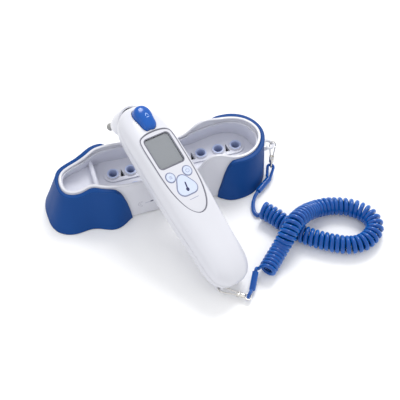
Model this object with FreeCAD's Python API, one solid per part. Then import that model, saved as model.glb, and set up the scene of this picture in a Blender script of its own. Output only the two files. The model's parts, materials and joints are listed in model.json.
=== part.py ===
import FreeCAD, Part

import math
import os

# Ear thermometer: a handset lying across its boat-shaped cradle, with a coiled tether between them.
# Millimetres. Origin: centre of the cradle's footprint, on the table. +X to the tether end,
# -Y to the user, +Z up. The handset's own frame is x across its face, y from tail to head,
# z out of its face, with its origin at the tail end of the face.

V = FreeCAD.Vector
os.makedirs("parts", exist_ok=True)

# ---- driving dimensions: cradle ------------------------------------------------------------
RIM_HIGH = 44.0          # highest point of the rim, over the saddle's right side
SHELL_BOTTOM = 1.0       # underside of the shell; the feet carry it clear of the table
SHELL_WALL = 2.1
TRAY_WALL = 1.6
TRAY_FLOOR = 14.4        # top of the tray's floor
NOSE_FLOOR = 20.0        # top of the raised floor in the nose
NECK_X = -51.5           # the neck between the nose and the main tray
RIB_HIGH = 26.0          # rounded rib that parts the nose from the main tray
RIB_THICK = 4.0
RIB_FACE_X = -49.2       # its side towards the wells
NOSE_SWAY = -6.0         # the foot of the nose sits this far to the front of its rim
FIT_GAP = 0.15           # gap between mouldings that seat in one another
BOOT_GAP = 0.05
BOOT_DROP = 1.3          # the boots end this far below the rim
CORE_BULGE = 1.15        # how the walls run from the floor outline to the rim outline: 1 is straight
BOOT_BULGE = 0.95
WELL_PITCH = 16.0
WELL_COUNT = 8
WELL_FIRST_X = -34.2
WELL_ROW_Y = 8.0         # back row
FRONT_ROW_Y = -11.0      # front row
WELL_R = 6.0
WELL_BORE = 4.6
FOOT_R = 5.0
FOOT_PLACES = [(0.0, 0.0), (-70.0, -18.5), (-70.0, 13.0), (76.0, -19.0), (76.0, 19.0)]
SCREW_PLACES = [(-44.0, -20.0), (-44.0, 20.0), (50.0, -19.0), (50.0, 19.0)]

# ---- driving dimensions: handset -----------------------------------------------------------
HANDSET_LENGTH = 169.5
TAIL_END = -1.5
CASE_WALL = 2.2
PARTING = -12.0          # height of the joint line between the two covers
PARTING_GAP = 0.25
HANDSET_YAW = 107.2      # how the handset lies at rest, in degrees
HANDSET_PITCH = 21.5
HANDSET_ROLL = -15.0
HANDSET_TAIL = V(38.6, -130.6, 26.6)
PANEL_DEPTH = 0.5
WINDOW_SIZE = (25.8, 28.6)
WINDOW_CENTRE = 121.4
ROUND_KEY_R = 3.9
ROUND_KEY_X = 8.9
ROUND_KEY_Y = 98.3
KEY_TOP = 0.45
KEY_GAP = 0.2
PROBE_FOOT = V(0, 161.0, -22.0)
PROBE_LEAN = 23.5        # lean of the probe towards the head's end, from straight back
PROBE_LENGTH = 33.3
PROBE_R = 3.4            # the bare front of the tube, which goes in the ear
PROBE_ROOT_R = 3.0       # the rest of it, inside the eject sleeve
SLEEVE_BORE = 3.07
SLEEVE_MOUTH_BORE = 3.47
SLEEVE_R = 4.10
NOZZLE_BORE = 4.18

# ---- driving dimensions: tether ------------------------------------------------------------
WIRE_R = 0.5
CORD_R = 1.6
COIL_R = 7.8
COIL_BORE = 6.0
LUG_R = 4.4
LUG_WIRE_R = 1.3
CRADLE_LUG = V(101.4, -11.0, 31.0)


def save(node, shape):
    shape.exportStep("parts/" + node + ".step")


def group(solids):
    return Part.makeCompound(solids)


# ---- outlines ------------------------------------------------------------------------------
def periodic_wire(points):
    curve = Part.BSplineCurve()
    curve.interpolate(Points=points, PeriodicFlag=True)
    return Part.Wire([curve.toShape()])


def open_wire(points):
    curve = Part.BSplineCurve()
    curve.interpolate(Points=points)
    return Part.Wire([curve.toShape()])


def inset_half(half, distance):
    """Move a half outline (tip to tip, on the +y side) inwards along its own normals."""
    full = [half[1][:1] + (-half[1][1],)] + list(half) + [half[-2][:1] + (-half[-2][1],)]
    moved = []
    for before, here, after in zip(full, full[1:], full[2:]):
        dx = after[0] - before[0]
        dy = after[1] - before[1]
        size = math.hypot(dx, dy)
        moved.append((here[0] + distance * dy / size, here[1] - distance * dx / size))
    moved[0] = (moved[0][0], 0.0)
    moved[-1] = (moved[-1][0], 0.0)
    return moved


def mirrored_wire(half, height, sway):
    """Close a half outline by its mirror image; sway bends the nose sideways."""
    def bend(x):
        share = min(max((NECK_X - x) / 42.0, 0.0), 1.0)
        return sway * share * share * (3.0 - 2.0 * share)

    upper = [V(x, y + bend(x), height) for x, y in half]
    lower = [V(x, bend(x) - y, height) for x, y in reversed(half[1:-1])]
    return periodic_wire(upper + lower)


def loft(wires):
    return Part.makeLoft(wires, True, False)


def side_prism(points, half_depth):
    """A solid whose outline is drawn in the XZ plane: straight runs and smooth runs of points."""
    edges = []
    for run in points:
        ends = [V(x, -half_depth, z) for x, z in run]
        if len(ends) == 2:
            edges.append(Part.makeLine(ends[0], ends[1]))
        else:
            curve = Part.BSplineCurve()
            curve.interpolate(Points=ends)
            edges.append(curve.toShape())
    return Part.Face(Part.Wire(edges)).extrude(V(0, 2 * half_depth, 0))


# Half outlines of the cradle, nose tip to tether end. Each row: at the floor, then at the rim.
CORE_STATIONS = [
    ((-94.0, 0.0), (-77.2, 0.0)), ((-93.0, 9.0), (-76.3, 5.1)), ((-88.5, 18.0), (-73.3, 8.8)),
    ((-81.5, 23.4), (-68.6, 10.7)), ((-72.5, 26.4), (-62.6, 12.0)), ((-61.0, 27.6), (-56.8, 14.0)),
    ((-51.0, 30.5), (-51.0, 18.2)), ((-41.0, 31.5), (-42.3, 21.6)), ((-27.0, 30.0), (-28.0, 22.7)),
    ((-10.0, 29.4), (-11.0, 22.0)), ((10.0, 28.9), (9.0, 19.6)), ((30.0, 28.8), (30.0, 17.4)),
    ((44.0, 29.4), (43.0, 19.4)), ((55.0, 31.5), (52.0, 21.2)), ((67.0, 33.5), (64.0, 22.0)),
    ((79.0, 31.0), (76.0, 21.4)), ((89.5, 23.5), (86.4, 17.3)), ((95.5, 12.0), (93.7, 9.8)),
    ((97.4, 0.0), (96.6, 0.0)),
]
BOOT_STATIONS = [
    ((-98.0, 0.0), (-80.6, 0.0)), ((-97.0, 11.5), (-79.6, 7.0)), ((-92.4, 21.5), (-76.1, 12.4)),
    ((-85.0, 27.2), (-70.6, 15.2)), ((-75.0, 30.6), (-63.6, 16.9)), ((-63.5, 31.8), (-57.7, 19.3)),
    ((-55.0, 35.4), (-52.0, 22.4)), ((-46.5, 38.8), (-43.0, 25.2)), ((-37.5, 37.4), (-36.0, 25.6)),
    ((-29.0, 32.0), (-28.0, 25.0)), ((-18.0, 29.0), (-18.0, 21.0)), ((10.0, 27.0), (9.0, 17.0)),
    ((38.0, 28.0), (36.0, 16.0)), ((48.0, 31.0), (46.0, 21.8)), ((57.5, 37.4), (55.0, 24.5)),
    ((67.0, 39.0), (65.0, 25.6)), ((77.5, 37.0), (76.5, 25.6)), ((88.0, 31.0), (88.0, 21.4)),
    ((97.0, 17.5), (96.8, 12.0)), ((100.4, 0.0), (100.2, 0.0)),
]
# The rim's height along the cradle: low nose, shoulder, saddle under the handset, high hump.
RIM_PROFILE = [
    (-110.0, 32.8), (-84.0, 32.8), (-72.0, 32.8), (-64.0, 34.6), (-57.0, 37.8), (-49.0, 39.0),
    (-38.0, 38.4), (-22.0, 36.8), (-4.0, 36.0), (12.0, 34.6), (24.0, 31.0), (31.0, 29.6),
    (36.5, 32.8), (43.0, 40.2), (50.0, RIM_HIGH), (57.0, 43.2), (64.0, 40.4), (72.0, 38.8),
    (86.0, 38.4), (98.0, 38.6), (112.0, 38.6),
]


def cradle_section(stations, share, inset, height):
    """share 0 is the floor outline and 1 the rim outline."""
    half = []
    for (floor_x, floor_y), (rim_x, rim_y) in stations:
        half.append((floor_x + (rim_x - floor_x) * share, floor_y + (rim_y - floor_y) * share))
    if inset:
        half = inset_half(half, inset)
    return mirrored_wire(half, height, NOSE_SWAY * (1.0 - share))


def cradle_solid(stations, inset, low, high, bulge):
    """A closed body between two heights. A bulge above 1 keeps it wide for longer."""
    wires = []
    for step in range(4):
        height = low + (high - low) * step / 3.0
        share = max(height, 0.0) / RIM_HIGH
        wires.append(cradle_section(stations, share ** bulge, inset, height))
    return loft(wires)


def under_rim(drop, low=-5.0):
    """Everything below the rim's profile, lowered by drop."""
    top = [(x, z - drop) for x, z in RIM_PROFILE]
    left = top[0][0]
    right = top[-1][0]
    return side_prism([[(left, low), (right, low)], [(right, low), top[-1]],
                       list(reversed(top)), [top[0], (left, low)]], 60.0)


# ---- cradle --------------------------------------------------------------------------------
CORE_HIGH = RIM_HIGH + 3.0
core_outer = cradle_solid(CORE_STATIONS, 0.0, SHELL_BOTTOM, CORE_HIGH, CORE_BULGE)
core_inner = cradle_solid(CORE_STATIONS, SHELL_WALL, SHELL_BOTTOM - 2.0, CORE_HIGH + 1.0, CORE_BULGE)


def make_cradle_shell():
    return core_outer.cut(core_inner).common(under_rim(0.0))


def boot_region(edge_run, outer_x):
    """The side view of one boot: its swept edge, the lowered rim and the outer end."""
    sign = 1.0 if outer_x > 0 else -1.0
    rim = [(x, z - BOOT_DROP) for x, z in RIM_PROFILE if sign * (x - edge_run[-1][0]) > 3.0]
    if sign < 0:
        rim = list(reversed(rim))
    top = [edge_run[-1]] + rim
    return side_prism([edge_run, top, [top[-1], (top[-1][0], 0.6)],
                       [(top[-1][0], 0.6), edge_run[0]]], 60.0)


def make_boot(edge_run, outer_x):
    boot_outer = cradle_solid(BOOT_STATIONS, 0.0, 0.6, CORE_HIGH, BOOT_BULGE)
    keep_out = cradle_solid(CORE_STATIONS, -BOOT_GAP, 0.0, CORE_HIGH + 1.0, CORE_BULGE)
    boot = boot_outer.common(boot_region(edge_run, outer_x)).cut([keep_out, core_outer])
    return max(boot.Solids, key=lambda solid: solid.Volume)


def make_tray():
    outer = cradle_solid(CORE_STATIONS, SHELL_WALL + FIT_GAP, TRAY_FLOOR - TRAY_WALL, CORE_HIGH, CORE_BULGE)
    inner = cradle_solid(CORE_STATIONS, SHELL_WALL + FIT_GAP + TRAY_WALL, TRAY_FLOOR, CORE_HIGH + 1.0,
                         CORE_BULGE)
    level = 33.6
    top = Part.makeBox(240.0, 120.0, level, V(-120.0, -60.0, 0.0))
    outer = outer.common(under_rim(1.6)).common(top)
    nose = Part.makeBox(60.0, 80.0, NOSE_FLOOR, V(RIB_FACE_X - 60.0, -40.0, 0.0))
    rib = Part.makeBox(RIB_THICK, 80.0, RIB_HIGH, V(RIB_FACE_X - RIB_THICK, -40.0, 0.0))
    top_edges = [edge for edge in rib.Edges if edge.BoundBox.ZMin > RIB_HIGH - 0.01 and edge.Length > 70.0]
    rib = rib.makeFillet(RIB_THICK * 0.45, top_edges)
    tray = outer.cut(inner.cut([nose, rib]))
    for row in (WELL_ROW_Y, FRONT_ROW_Y):
        tray = tray.cut(well_slot(row, 0.0, 60.0))
    return tray


def row_length():
    return WELL_PITCH * (WELL_COUNT - 1)


def well_slot(row, inset, height):
    """A round-ended slot under one row of wells."""
    radius = WELL_R + 0.8 - inset
    left = WELL_FIRST_X
    middle = Part.makeBox(row_length(), 2 * radius, height, V(left, row - radius, 5.0))
    ends = [Part.makeCylinder(radius, height, V(x, row, 5.0)) for x in (left, left + row_length())]
    return middle.fuse(ends).removeSplitter()


def well_places(row):
    return [V(WELL_FIRST_X + WELL_PITCH * index, row, 0.0) for index in range(WELL_COUNT)]


def make_cassette(row):
    """A strip of round wells on a thin flange, with arrow-shaped windows between pairs of wells."""
    flange_low = TRAY_FLOOR + 0.1
    plate = well_slot(row, -1.2, 1.0)
    plate.translate(V(0, 0, flange_low - 5.0))
    skirt = well_slot(row, FIT_GAP + 0.1, 3.0)
    skirt.translate(V(0, 0, flange_low - 8.0))
    body = plate.fuse(skirt)
    for place in well_places(row):
        body = body.fuse(Part.makeCylinder(WELL_R - 0.3, 12.6, place + V(0, 0, 4.2)))
    for place in well_places(row):
        body = body.cut(Part.makeCylinder(WELL_BORE, 12.0, place + V(0, 0, 5.4)))
    for index in range(0, WELL_COUNT, 2):
        middle = WELL_FIRST_X + WELL_PITCH * (index + 0.5)
        corners = [V(middle - 2.0, row - 4.2, 4.0), V(middle + 2.0, row - 4.2, 4.0),
                   V(middle, row + 4.4, 4.0)]
        arrow = Part.Face(Part.makePolygon(corners + corners[:1])).extrude(V(0, 0, 16.0))
        body = body.cut(arrow)
    return body.removeSplitter()


def make_covers(row):
    """Thin soft probe covers, mouth up, one in each well."""
    covers = []
    for place in well_places(row):
        outline = [V(4.35, 0, 16.4), V(4.35, 0, 16.86), V(5.1, 0, 16.86), V(5.1, 0, 17.25),
                   V(4.0, 0, 17.25), V(3.7, 0, 16.6), V(2.7, 0, 7.0), V(0, 0, 7.0), V(0, 0, 6.2),
                   V(3.4, 0, 6.2)]
        face = Part.Face(Part.makePolygon(outline + outline[:1]))
        cover = face.revolve(V(0, 0, 0), V(0, 0, 1), 360.0)
        cover.translate(place)
        covers.append(Part.Solid(cover) if cover.ShapeType != "Solid" else cover)
    return group(covers)


def make_bottom_cover():
    plate = cradle_solid(CORE_STATIONS, SHELL_WALL + 0.2, SHELL_BOTTOM + 0.4, SHELL_BOTTOM + 2.4, 1.0)
    for x, y in FOOT_PLACES:
        plate = plate.cut(Part.makeCylinder(FOOT_R + 0.1, 1.6, V(x, y, 0.0)))
    for x, y in SCREW_PLACES:
        plate = plate.cut(Part.makeCylinder(1.7, 8.0, V(x, y, -1.0)))
        plate = plate.cut(Part.makeCylinder(3.3, 1.5, V(x, y, 0.9)))
    return plate


def make_feet():
    feet = []
    for x, y in FOOT_PLACES:
        foot = Part.makeCylinder(FOOT_R, 1.6, V(x, y, 0.0))
        low = [edge for edge in foot.Edges if edge.BoundBox.ZMax < 0.01]
        feet.append(foot.makeFillet(0.5, low))
    return group(feet)


def make_screw(head_r, head_height, shank_r, length):
    """A pan-head screw, head down, with a cross recess; its head's underside is at z = 0."""
    head = Part.makeCylinder(head_r, head_height, V(0, 0, -head_height))
    low = [edge for edge in head.Edges if edge.BoundBox.ZMax < -head_height + 0.01]
    head = head.makeFillet(head_height * 0.45, low)
    shank = Part.makeCylinder(shank_r, length)
    screw = head.fuse(shank)
    slot = 0.28 * head_r
    for size in ((head_r * 1.2, slot), (slot, head_r * 1.2)):
        cutter = Part.makeBox(size[0], size[1], head_height * 0.6,
                              V(-size[0] / 2, -size[1] / 2, -head_height - 0.01))
        screw = screw.cut(cutter)
    return screw


def make_cradle_screws():
    screws = []
    for x, y in SCREW_PLACES:
        screw = make_screw(2.8, 1.1, 1.4, 8.0)
        screw.translate(V(x, y, 2.38))
        screws.append(screw)
    return group(screws)


def make_tether_lug():
    """A moulded loop on a small pad: the wire clip hooks through it."""
    ring = Part.makeTorus(LUG_R, LUG_WIRE_R, CRADLE_LUG, V(0.25, 0, 1))
    pad = Part.makeBox(7.0, 8.0, 5.0, CRADLE_LUG + V(-9.0, -4.0, -2.5))
    pad = pad.makeFillet(1.2, [edge for edge in pad.Edges if edge.BoundBox.YLength > 7.9])
    lug = ring.fuse(pad).cut(cradle_solid(BOOT_STATIONS, -BOOT_GAP, 0.0, CORE_HIGH, BOOT_BULGE))
    lug = lug.cut(cradle_solid(CORE_STATIONS, -BOOT_GAP, 0.0, CORE_HIGH, CORE_BULGE))
    return max(lug.Solids, key=lambda solid: solid.Volume)


# The swept edge where each boot ends against the white wall, from the floor up to the rim.
LEFT_BOOT_EDGE = [(-27.4, 0.6), (-27.9, 6.0), (-29.4, 15.0), (-32.2, 26.0), (-36.0, 33.6), (-40.0, 36.4)]
RIGHT_BOOT_EDGE = [(49.6, 0.6), (50.4, 6.0), (52.8, 14.0), (55.6, 23.0), (59.0, 31.0), (63.0, 36.4),
                   (68.0, 37.6)]


# ---- handset -------------------------------------------------------------------------------
def handset_placement():
    yaw = math.radians(HANDSET_YAW)
    pitch = math.radians(HANDSET_PITCH)
    roll = math.radians(HANDSET_ROLL)
    along = V(math.cos(pitch) * math.cos(yaw), math.cos(pitch) * math.sin(yaw), math.sin(pitch))
    level = V(math.sin(yaw), -math.cos(yaw), 0.0)
    upright = level.cross(along)
    across = level * math.cos(roll) + upright * math.sin(roll)
    out = upright * math.cos(roll) - level * math.sin(roll)
    tail = HANDSET_TAIL
    return FreeCAD.Placement(FreeCAD.Matrix(
        across.x, along.x, out.x, tail.x,
        across.y, along.y, out.y, tail.y,
        across.z, along.z, out.z, tail.z,
        0, 0, 0, 1))


def lay(shape):
    """Put a shape drawn in the handset's frame where the handset rests."""
    shape = shape.copy()
    shape.Placement = handset_placement().multiply(shape.Placement)
    return shape


def interpolate(table, at):
    """Smooth value of a table of (place, value) rows."""
    if at <= table[0][0]:
        return table[0][1]
    for (low, first), (high, second) in zip(table, table[1:]):
        if at <= high:
            share = (at - low) / (high - low)
            share = share * share * (3.0 - 2.0 * share)
            return first + (second - first) * share
    return table[-1][1]


CASE_HALF_WIDTH = [(0, 19.0), (30, 20.0), (70, 21.4), (100, 21.8), (125, 21.6), (145, 20.8), (170, 19.6)]
CASE_TOP = [(0, -1.5), (25, 1.0), (55, 0.9), (85, 1.4), (110, 1.6), (132, 1.3), (150, 0.2), (170, -1.0)]
CASE_BACK = [(0, -25.0), (30, -27.6), (70, -28.6), (105, -29.4), (135, -28.6), (170, -27.6)]
TOP_SQUARENESS = [(0, 2.6), (50, 2.8), (80, 3.8), (135, 4.0), (155, 2.8), (170, 2.4)]
BACK_SQUARENESS = 2.5
HEAD_ROUNDING_FROM = 143.0
TAIL_ROUNDING_TO = 17.0
END_ROUNDNESS = 2.3


def case_section(at, shrink, inset):
    half_width = (interpolate(CASE_HALF_WIDTH, at) - inset) * shrink
    top = interpolate(CASE_TOP, at) - inset
    back = interpolate(CASE_BACK, at) + inset
    middle = PARTING - 1.0
    points = []
    count = 28
    for index in range(count):
        angle = 2.0 * math.pi * index / count
        cosine = math.cos(angle)
        sine = math.sin(angle)
        power = 2.0 / (interpolate(TOP_SQUARENESS, at) if sine > 0 else BACK_SQUARENESS)
        reach = (top - middle if sine > 0 else middle - back) * shrink
        x = half_width * math.copysign(abs(cosine) ** power, cosine)
        z = middle + reach * math.copysign(abs(sine) ** power, sine)
        points.append(V(x, at, z))
    return periodic_wire(points)


def end_shrink(share):
    return (1.0 - share ** END_ROUNDNESS) ** (1.0 / END_ROUNDNESS)


def case_solid(inset):
    head_end = HANDSET_LENGTH - inset
    tail_end = TAIL_END + inset
    wires = []
    for share in (0.999, 0.97, 0.88, 0.70, 0.40):
        at = TAIL_ROUNDING_TO + (tail_end - TAIL_ROUNDING_TO) * share
        wires.append(case_section(at, end_shrink(share), inset))
    for at in (TAIL_ROUNDING_TO, 38.0, 60.0, 82.0, 104.0, 125.0, HEAD_ROUNDING_FROM):
        wires.append(case_section(at, 1.0, inset))
    for share in (0.40, 0.66, 0.85, 0.96, 0.999):
        at = HEAD_ROUNDING_FROM + (head_end - HEAD_ROUNDING_FROM) * share
        wires.append(case_section(at, end_shrink(share), inset))
    return loft(wires)


case_outer = case_solid(0.0)
case_inner = case_solid(CASE_WALL)
case_walls = case_outer.cut(case_inner)


def slab(low, high):
    return Part.makeBox(80.0, 240.0, high - low, V(-40.0, -30.0, low))


PANEL_HALF = [(61.5, 0.0), (63.2, 5.2), (68.0, 9.6), (76.0, 13.2), (88.0, 15.9), (104.0, 17.0),
              (120.0, 17.2), (132.0, 17.0), (136.8, 15.6), (139.3, 11.0), (140.6, 0.0)]


def panel_prism(inset, low, high):
    half = PANEL_HALF
    if inset:
        half = inset_half(half, inset)
    right = [V(x, y, low) for y, x in half]
    left = [V(-x, y, low) for y, x in reversed(half[1:-1])]
    return Part.Face(periodic_wire(right + left)).extrude(V(0, 0, high - low))


def rounded_box(width, length, centre_y, radius, low, high):
    box = Part.makeBox(width, length, high - low, V(-width / 2, centre_y - length / 2, low))
    uprights = [edge for edge in box.Edges if edge.BoundBox.ZLength > (high - low) * 0.9]
    return box.makeFillet(radius, uprights)


def triangle_prism(grow, low, high):
    """The rounded triangular key, one corner towards the head."""
    centre = V(0, 87.0, low)
    points = []
    count = 18
    for index in range(count):
        angle = 2.0 * math.pi * index / count + math.pi / 2
        radius = 8.7 * (1.0 + 0.13 * math.cos(3.0 * (angle - math.pi / 2))) + grow
        points.append(centre + V(radius * math.cos(angle) * 1.02, radius * math.sin(angle), 0))
    return Part.Face(periodic_wire(points)).extrude(V(0, 0, high - low))


def round_prism(side, grow, low, high):
    return Part.makeCylinder(ROUND_KEY_R + grow, high - low, V(side * ROUND_KEY_X, ROUND_KEY_Y, low))


KEY_SHAPES = {
    "measure_key": triangle_prism,
    "memory_key": lambda grow, low, high: round_prism(-1, grow, low, high),
    "mode_key": lambda grow, low, high: round_prism(1, grow, low, high),
}


def make_key(shape):
    """A key cap with a wider foot that stops it under the cover."""
    cap = shape(0.0, -4.2, KEY_TOP)
    high = [edge for edge in cap.Edges if edge.BoundBox.ZMin > KEY_TOP - 0.01]
    cap = cap.makeFillet(0.3, high)
    return cap.fuse(shape(1.0, -4.2, -3.2))


def button_outline(grow, at, scale=1.0):
    """Eject button seen from the front: wide and round at the head's end, straight at the foot."""
    half = [(142.0, 0.0), (142.2, 4.2), (143.8, 6.0), (149.5, 7.1), (155.0, 7.8), (160.0, 7.0),
            (163.4, 4.2), (164.6, 0.0)]
    if grow:
        half = inset_half(half, -grow)
    middle = 153.5
    right = [V(x * scale, middle + (y - middle) * scale, at) for y, x in half]
    left = [V(-x * scale, middle + (y - middle) * scale, at) for y, x in reversed(half[1:-1])]
    return periodic_wire(right + left)


def make_eject_button():
    body = loft([button_outline(0.0, -7.0), button_outline(0.0, -3.0), button_outline(0.0, 0.6)])
    rounds = [(0.6, 1.0), (1.7, 0.985), (2.8, 0.93), (3.8, 0.82), (4.5, 0.65), (4.9, 0.42), (5.0, 0.15)]
    crown = loft([button_outline(0.0, height, scale) for height, scale in rounds])
    foot = Part.makeBox(9.0, 14.0, 1.4, V(-4.5, 147.0, -8.4))
    return body.fuse(crown).fuse(foot).removeSplitter()


def button_hole():
    return loft([button_outline(0.3, -9.6), button_outline(0.3, 8.0)])


def make_front_cover():
    cover = case_walls.common(slab(PARTING, 20.0))
    cover = cover.cut(panel_prism(-0.1, -PANEL_DEPTH, 10.0))
    cover = cover.cut(rounded_box(WINDOW_SIZE[0], WINDOW_SIZE[1], WINDOW_CENTRE, 3.2, -6.0, 4.0))
    for shape in KEY_SHAPES.values():
        cover = cover.cut(shape(KEY_GAP, -6.0, 4.0))
    return cover.cut(button_hole())


def make_panel_overlay():
    panel = panel_prism(0.0, -PANEL_DEPTH, 0.0)
    panel = panel.cut(rounded_box(WINDOW_SIZE[0] - 0.4, WINDOW_SIZE[1] - 0.4, WINDOW_CENTRE, 3.0, -3.0, 3.0))
    for shape in KEY_SHAPES.values():
        panel = panel.cut(shape(KEY_GAP, -3.0, 3.0))
    return panel


def make_display_window():
    pane = rounded_box(WINDOW_SIZE[0] - 0.6, WINDOW_SIZE[1] - 0.6, WINDOW_CENTRE, 2.9, -0.9, 0.12)
    rim = [edge for edge in pane.Edges if edge.BoundBox.ZMin > 0.1]
    return pane.makeFillet(0.12, rim)


def make_lcd_module():
    glass = rounded_box(24.6, 27.4, WINDOW_CENTRE, 2.6, -4.3, -1.0)
    frame = Part.makeBox(27.6, 31.0, 1.8, V(-13.8, WINDOW_CENTRE - 15.5, -6.1))
    return frame.fuse(glass)


def make_key_pad():
    """Rubber sheet with a dome under each key."""
    sheet = Part.makeBox(30.0, 29.0, 0.7, V(-15.0, 76.0, -6.3))
    for x, y in ((-ROUND_KEY_X, ROUND_KEY_Y), (ROUND_KEY_X, ROUND_KEY_Y), (0.0, 87.0)):
        sheet = sheet.fuse(Part.makeCylinder(2.6, 1.2, V(x, y, -6.0)))
    return sheet


def make_circuit_board():
    board = rounded_box(31.0, 76.0, 103.0, 3.0, -7.9, -6.4)
    chip = Part.makeBox(9.0, 9.0, 1.4, V(-4.5, 108.0, -9.3))
    memory = Part.makeBox(5.0, 6.0, 1.2, V(7.0, 92.0, -9.1))
    crystal = Part.makeBox(3.0, 7.0, 1.6, V(-12.0, 96.0, -9.5))
    return board.fuse([chip, memory, crystal])


def make_buzzer():
    can = Part.makeCylinder(5.5, 3.2, V(0, 76.0, -11.3))
    return can.cut(Part.makeCylinder(0.9, 1.0, V(0, 76.0, -11.4)))


BATTERY_R = 5.1
BATTERY_PLACES = [-10.6, 0.0, 10.6]
BATTERY_Z = -16.0
BATTERY_LOW = 13.5
BATTERY_LENGTH = 44.0


def spring(radius, wire, pitch, turns):
    """A coil spring up the z axis."""
    points_per_turn = 12
    line = []
    for index in range(int(turns * points_per_turn) + 1):
        share = index / points_per_turn
        angle = 2.0 * math.pi * share
        line.append(V(radius * math.cos(angle), radius * math.sin(angle), pitch * share))
    return pipe(line, wire)


def make_batteries():
    cells = []
    for x in BATTERY_PLACES:
        cell = Part.makeCylinder(BATTERY_R, BATTERY_LENGTH - 1.0, V(x, BATTERY_LOW, BATTERY_Z), V(0, 1, 0))
        cell = cell.makeFillet(0.5, [edge for edge in cell.Edges if edge.BoundBox.YLength < 0.01])
        tip = Part.makeCylinder(1.8, 1.2, V(x, BATTERY_LOW + BATTERY_LENGTH - 1.2, BATTERY_Z), V(0, 1, 0))
        cells.append(cell.fuse(tip))
    return group(cells)


def make_battery_springs():
    """Coiled contacts pressing on the cells' flat ends."""
    springs = []
    for x in BATTERY_PLACES:
        coil = spring(2.4, 0.28, 0.9, 3.0)
        coil.rotate(V(0, 0, 0), V(1, 0, 0), -90.0)
        coil.translate(V(x, BATTERY_LOW - 3.1, BATTERY_Z))
        springs.append(coil)
    return group(springs)


def make_contact_plate():
    plate = Part.makeBox(29.0, 0.8, 7.0, V(-14.5, BATTERY_LOW + BATTERY_LENGTH + 0.05, BATTERY_Z - 3.5))
    tab = Part.makeBox(3.0, 8.0, 0.6, V(-12.0, BATTERY_LOW + BATTERY_LENGTH + 0.6, BATTERY_Z + 2.4))
    return plate.fuse(tab)


DOOR_LOW = 16.0
DOOR_LENGTH = 40.0
DOOR_WIDTH = 25.0


def door_prism(gap):
    return rounded_box(DOOR_WIDTH - 2 * gap, DOOR_LENGTH - 2 * gap, DOOR_LOW + DOOR_LENGTH / 2, 3.0,
                       -40.0, -21.5)


def make_battery_door():
    door = case_walls.common(door_prism(0.25))
    door = door.cut(Part.makeCylinder(1.2, 20.0, V(0, DOOR_LOW + 5.0, -40.0)))
    return door.cut(Part.makeCylinder(2.2, 12.9, V(0, DOOR_LOW + 5.0, -39.0)))


def make_door_screw():
    screw = make_screw(2.0, 0.8, 1.1, 3.0)
    screw.translate(V(0, DOOR_LOW + 5.0, -26.12))
    return screw


# ---- probe ---------------------------------------------------------------------------------
def probe_placement():
    """Probe frame: +z runs from the head out along the probe."""
    turn = FreeCAD.Rotation(V(1, 0, 0), 180.0 + PROBE_LEAN)
    return FreeCAD.Placement(PROBE_FOOT, turn)


def aim(shape):
    shape = shape.copy()
    shape.Placement = probe_placement().multiply(shape.Placement)
    return shape


def turned(profile):
    """Revolve an (r, z) outline about z."""
    points = [V(r, 0, z) for r, z in profile]
    shape = Part.Face(Part.makePolygon(points + points[:1])).revolve(V(0, 0, 0), V(0, 0, 1), 360.0)
    return Part.Solid(shape) if shape.ShapeType != "Solid" else shape


def bell(offset):
    """Bell curve of the nozzle: (r, z) points from the root to the mouth."""
    points = [V(14.4 - offset, 0, -5.0), V(13.8 - offset, 0, 0.0), V(12.8 - offset, 0, 5.0),
              V(11.4 - offset, 0, 10.0), V(9.5 - offset, 0, 14.5), V(7.7 - offset * 0.8, 0, 18.5),
              V(6.2 - offset * 0.5, 0, 21.5)]
    curve = Part.BSplineCurve()
    curve.interpolate(Points=points)
    return curve.toShape(), points


def bell_solid(offset, low_cut):
    curve, points = bell(offset)
    first = points[0]
    last = points[-1]
    axis_low = V(0, 0, first.z)
    axis_high = V(0, 0, last.z)
    edges = [curve, Part.makeLine(last, axis_high), Part.makeLine(axis_high, axis_low),
             Part.makeLine(axis_low, first)]
    solid = Part.Face(Part.Wire(edges)).revolve(V(0, 0, 0), V(0, 0, 1), 360.0)
    solid = Part.Solid(solid) if solid.ShapeType != "Solid" else solid
    return solid.cut(Part.makeBox(60, 60, 40, V(-30, -30, low_cut)))


def make_probe_cone():
    """The nozzle: a hollow bell seated on the back of the head."""
    outer = bell_solid(0.0, 22.0)
    inner = bell_solid(1.7, 16.0)
    cone = outer.cut(inner).cut(Part.makeCylinder(NOZZLE_BORE, 40.0, V(0, 0, -8.0)))
    cone = aim(cone).cut(case_outer)
    return max(cone.Solids, key=lambda solid: solid.Volume)


def make_probe_tube():
    """The rigid tube that goes in the ear, with a thicker root seated in the head."""
    outline = [(1.9, -4.6), (PROBE_R + 1.6, -4.6), (PROBE_R + 1.6, -2.1), (PROBE_ROOT_R, -2.1),
               (PROBE_ROOT_R, 22.3), (PROBE_R, 22.3), (PROBE_R, PROBE_LENGTH - 1.2),
               (PROBE_R - 0.35, PROBE_LENGTH - 0.35),
               (PROBE_R - 1.1, PROBE_LENGTH), (1.9, PROBE_LENGTH)]
    return aim(turned(outline))


def make_waveguide():
    """Polished tube that carries infrared light from the tip to the sensor."""
    end = PROBE_LENGTH - 0.6
    return aim(turned([(1.3, -4.9), (1.84, -4.9), (1.84, end), (1.3, end)]))


def make_tip_window():
    return aim(Part.makeCylinder(1.84, 0.4, V(0, 0, PROBE_LENGTH - 0.55)))


def make_sensor():
    """Thermopile can behind the waveguide, with its cap flange."""
    can = Part.makeCylinder(4.2, 3.4, V(0, 0, -8.6))
    return aim(can.fuse(Part.makeCylinder(4.8, 0.5, V(0, 0, -8.6))))


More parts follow.
